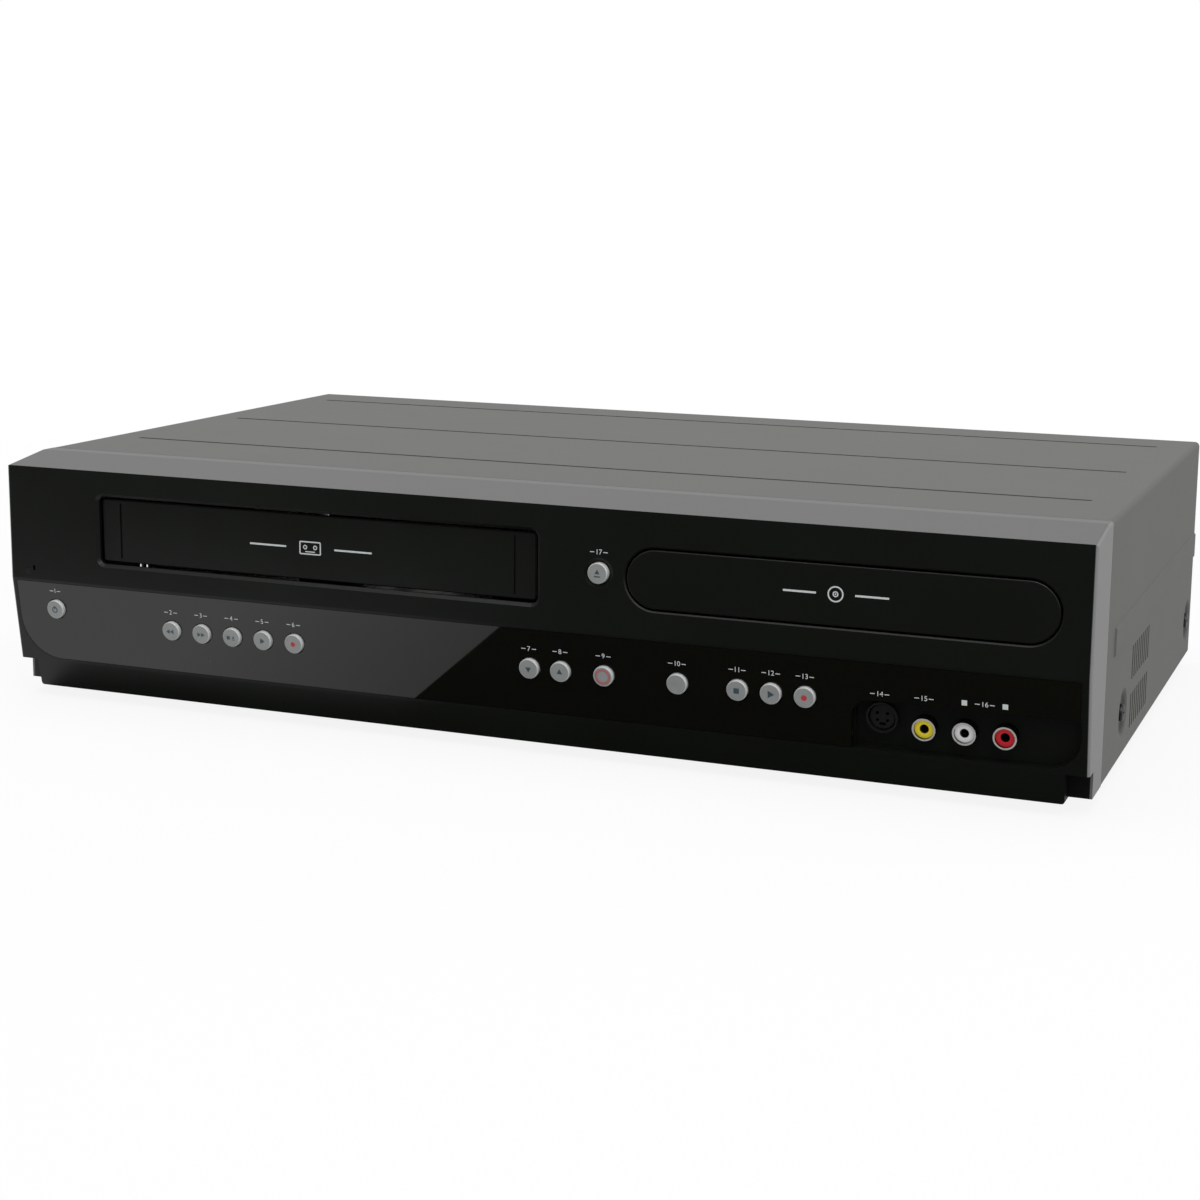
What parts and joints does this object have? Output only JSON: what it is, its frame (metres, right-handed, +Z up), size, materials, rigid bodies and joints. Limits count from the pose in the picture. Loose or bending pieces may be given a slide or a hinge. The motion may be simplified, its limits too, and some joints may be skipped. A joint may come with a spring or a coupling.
{
  "type": "dvd vcr combo player",
  "caption": "Full-width home player for video cassettes and discs, with a cassette door, a disc tray, round buttons and front sockets.",
  "frame": {"origin": "under the middle of the whole player, on the surface that its feet stand on", "axes": "+Z up, +X to the right seen from the front, +Y from the front face to the back"},
  "size_m": [0.4362, 0.2694, 0.0995],
  "materials": {
    "cover_paint": "satin",
    "bezel_plastic": "satin",
    "smoked_window": "gloss",
    "door_plastic": "satin",
    "button_plastic": "satin",
    "zinc_steel": "satin",
    "spring_steel": "gloss",
    "foot_plastic": "matte",
    "screw_steel": "satin",
    "nickel": "gloss",
    "socket_colours": "gloss",
    "black_plastic": "matte",
    "tray_plastic": "satin",
    "white_gear_plastic": "satin",
    "circuit_board": "satin",
    "display_glass": "gloss",
    "lamp_resin": "gloss",
    "switch_parts": "satin",
    "aluminium": "satin",
    "bare_aluminium": "satin",
    "rubber": "matte",
    "power_parts": "satin"
  },
  "bodies": {
    "case": {"top_cover": "cover_paint", "front_bezel": "bezel_plastic", "control_window": "smoked_window", "rear_panel": "zinc_steel", "chassis_base": "zinc_steel", "feet": "foot_plastic", "case_screws": "screw_steel", "s_video_socket": "black_plastic", "front_jack_shells": "nickel", "front_jack_inserts": "socket_colours", "lamps_and_receiver": "lamp_resin", "display_tube": "display_glass", "front_board": "circuit_board", "tact_switches": "switch_parts", "rear_jacks": "black_plastic", "tuner_module": "zinc_steel", "cord_bushing": "black_plastic", "main_board": "circuit_board", "power_board": "circuit_board", "power_parts": "power_parts", "heat_sink": "bare_aluminium", "deck_chassis": "zinc_steel", "lower_drum": "aluminium", "loader_frame": "black_plastic", "tray_motor": "nickel", "tray_belt": "rubber"},
    "cassette_door": {"cassette_door": "door_plastic", "door_spring": "spring_steel"},
    "disc_drawer": {"disc_tray": "tray_plastic", "tray_front": "door_plastic"},
    "tray_gear": {"tray_gear": "white_gear_plastic"},
    "disc_clamp": {"disc_clamp": "white_gear_plastic"},
    "traverse": {"traverse_base": "zinc_steel"},
    "turntable": {"turntable": "black_plastic"},
    "pickup": {"pickup": "black_plastic"},
    "cassette_carriage": {"cassette_carriage": "zinc_steel"},
    "cassette_holder": {"cassette_holder": "zinc_steel"},
    "loading_gear": {"loading_gear": "white_gear_plastic"},
    "upper_drum": {"upper_drum": "aluminium"},
    "capstan": {"capstan": "zinc_steel"},
    "supply_reel": {"supply_reel": "black_plastic"},
    "take_up_reel": {"take_up_reel": "black_plastic"},
    "pinch_arm": {"pinch_arm": "zinc_steel"},
    "pinch_roller": {"pinch_roller": "rubber"},
    "supply_guide": {"supply_guide": "nickel"},
    "take_up_guide": {"take_up_guide": "nickel"},
    "standby_button": {"standby_button": "button_plastic"},
    "rewind_button": {"rewind_button": "button_plastic"},
    "fast_forward_button": {"fast_forward_button": "button_plastic"},
    "stop_eject_button": {"stop_eject_button": "button_plastic"},
    "play_button": {"play_button": "button_plastic"},
    "record_button": {"record_button": "button_plastic"},
    "tracking_down_button": {"tracking_down_button": "button_plastic"},
    "tracking_up_button": {"tracking_up_button": "button_plastic"},
    "dubbing_button": {"dubbing_button": "button_plastic"},
    "source_button": {"source_button": "button_plastic"},
    "disc_stop_button": {"disc_stop_button": "button_plastic"},
    "disc_play_button": {"disc_play_button": "button_plastic"},
    "disc_record_button": {"disc_record_button": "button_plastic"},
    "open_close_button": {"open_close_button": "button_plastic"}
  },
  "joints": [
    {"name": "door_swing", "type": "hinge", "parent": "case", "child": "cassette_door", "pos_m": [-0.0793, -0.12685, 0.0895], "axis": [1, 0, 0], "range_deg": [0, 85], "stiffness_Nm_per_rad": 0.01, "springref_deg": -28.65},
    {"name": "tray_slide", "type": "slide", "parent": "case", "child": "disc_drawer", "axis": [0, -1, 0], "range_m": [0, 0.14]},
    {"name": "tray_gear_turn", "type": "hinge", "parent": "case", "child": "tray_gear", "pos_m": [0.07865, -0.10325, 0.066], "axis": [0, 0, 1], "range_deg": [-767, 0]},
    {"name": "standby_button_press", "type": "slide", "parent": "case", "child": "standby_button", "axis": [0, 0.9907, 0.1357], "range_m": [0, 0.0008], "stiffness_N_per_m": 600, "springref_m": -0.0005},
    {"name": "rewind_button_press", "type": "slide", "parent": "case", "child": "rewind_button", "axis": [0, 0.9907, 0.1357], "range_m": [0, 0.0008], "stiffness_N_per_m": 600, "springref_m": -0.0005},
    {"name": "fast_forward_button_press", "type": "slide", "parent": "case", "child": "fast_forward_button", "axis": [0, 0.9907, 0.1357], "range_m": [0, 0.0008], "stiffness_N_per_m": 600, "springref_m": -0.0005},
    {"name": "stop_eject_button_press", "type": "slide", "parent": "case", "child": "stop_eject_button", "axis": [0, 0.9907, 0.1357], "range_m": [0, 0.0008], "stiffness_N_per_m": 600, "springref_m": -0.0005},
    {"name": "play_button_press", "type": "slide", "parent": "case", "child": "play_button", "axis": [0, 0.9907, 0.1357], "range_m": [0, 0.0008], "stiffness_N_per_m": 600, "springref_m": -0.0005},
    {"name": "record_button_press", "type": "slide", "parent": "case", "child": "record_button", "axis": [0, 0.9907, 0.1357], "range_m": [0, 0.0008], "stiffness_N_per_m": 600, "springref_m": -0.0005},
    {"name": "tracking_down_button_press", "type": "slide", "parent": "case", "child": "tracking_down_button", "axis": [0, 0.9907, 0.1357], "range_m": [0, 0.0008], "stiffness_N_per_m": 600, "springref_m": -0.0005},
    {"name": "tracking_up_button_press", "type": "slide", "parent": "case", "child": "tracking_up_button", "axis": [0, 0.9907, 0.1357], "range_m": [0, 0.0008], "stiffness_N_per_m": 600, "springref_m": -0.0005},
    {"name": "dubbing_button_press", "type": "slide", "parent": "case", "child": "dubbing_button", "axis": [0, 0.9907, 0.1357], "range_m": [0, 0.0008], "stiffness_N_per_m": 600, "springref_m": -0.0005},
    {"name": "source_button_press", "type": "slide", "parent": "case", "child": "source_button", "axis": [0, 0.9907, 0.1357], "range_m": [0, 0.0008], "stiffness_N_per_m": 600, "springref_m": -0.0005},
    {"name": "disc_stop_button_press", "type": "slide", "parent": "case", "child": "disc_stop_button", "axis": [0, 0.9907, 0.1357], "range_m": [0, 0.0008], "stiffness_N_per_m": 600, "springref_m": -0.0005},
    {"name": "disc_play_button_press", "type": "slide", "parent": "case", "child": "disc_play_button", "axis": [0, 0.9907, 0.1357], "range_m": [0, 0.0008], "stiffness_N_per_m": 600, "springref_m": -0.0005},
    {"name": "disc_record_button_press", "type": "slide", "parent": "case", "child": "disc_record_button", "axis": [0, 0.9907, 0.1357], "range_m": [0, 0.0008], "stiffness_N_per_m": 600, "springref_m": -0.0005},
    {"name": "open_close_button_press", "type": "slide", "parent": "case", "child": "open_close_button", "axis": [0, 1, 0], "range_m": [0, 0.0008], "stiffness_N_per_m": 600, "springref_m": -0.0005},
    {"name": "carriage_slide", "type": "slide", "parent": "case", "child": "cassette_carriage", "axis": [0, 1, 0], "range_m": [0, 0.078]},
    {"name": "loading_gear_turn", "type": "hinge", "parent": "case", "child": "loading_gear", "pos_m": [-0.0793, -0.00725, 0.0496], "axis": [1, 0, 0], "range_deg": [-429, 0]},
    {"name": "holder_drop", "type": "slide", "parent": "cassette_carriage", "child": "cassette_holder", "axis": [0, 0, -1], "range_m": [0, 0.014]},
    {"name": "drum_spin", "type": "hinge", "parent": "case", "child": "upper_drum", "pos_m": [-0.0793, 0.06975, 0.057], "axis": [0, -0.1045, 0.9945], "continuous": true},
    {"name": "capstan_spin", "type": "hinge", "parent": "case", "child": "capstan", "pos_m": [-0.0173, 0.03975, 0.0375], "axis": [0, 0, 1], "continuous": true},
    {"name": "supply_reel_spin", "type": "hinge", "parent": "case", "child": "supply_reel", "pos_m": [-0.1253, -0.03325, 0.0375], "axis": [0, 0, 1], "continuous": true},
    {"name": "take_up_reel_spin", "type": "hinge", "parent": "case", "child": "take_up_reel", "pos_m": [-0.0333, -0.03325, 0.0375], "axis": [0, 0, 1], "continuous": true},
    {"name": "pinch_swing", "type": "hinge", "parent": "case", "child": "pinch_arm", "pos_m": [0.0047, 0.06275, 0.0375], "axis": [0, 0, 1], "range_deg": [0, 35]},
    {"name": "pinch_roller_spin", "type": "hinge", "parent": "pinch_arm", "child": "pinch_roller", "pos_m": [-0.01813, 0.05922, 0.0375], "axis": [0, 0, 1], "continuous": true},
    {"name": "supply_guide_slide", "type": "slide", "parent": "case", "child": "supply_guide", "axis": [-0.1322, 0.9912, 0], "range_m": [0, 0.0605]},
    {"name": "take_up_guide_slide", "type": "slide", "parent": "case", "child": "take_up_guide", "axis": [0.1322, 0.9912, 0], "range_m": [0, 0.0605]},
    {"name": "traverse_tilt", "type": "hinge", "parent": "case", "child": "traverse", "pos_m": [0.12865, 0.03875, 0.057], "axis": [1, 0, 0], "range_deg": [0, 5]},
    {"name": "turntable_spin", "type": "hinge", "parent": "traverse", "child": "turntable", "pos_m": [0.12865, -0.05605, 0.0705], "axis": [0, 0, 1], "continuous": true},
    {"name": "pickup_slide", "type": "slide", "parent": "traverse", "child": "pickup", "axis": [0, 1, 0], "range_m": [0, 0.034]},
    {"name": "clamp_spin", "type": "hinge", "parent": "case", "child": "disc_clamp", "pos_m": [0.12865, -0.05605, 0.0748], "axis": [0, 0, 1], "continuous": true}
  ],
  "couplings": [
    {"joint": "tray_gear_turn", "follows": "tray_slide", "rad_per_m": -95.238},
    {"joint": "loading_gear_turn", "follows": "carriage_slide", "rad_per_m": -95.238},
    {"joint": "take_up_guide_slide", "follows": "supply_guide_slide", "ratio": 1}
  ]
}
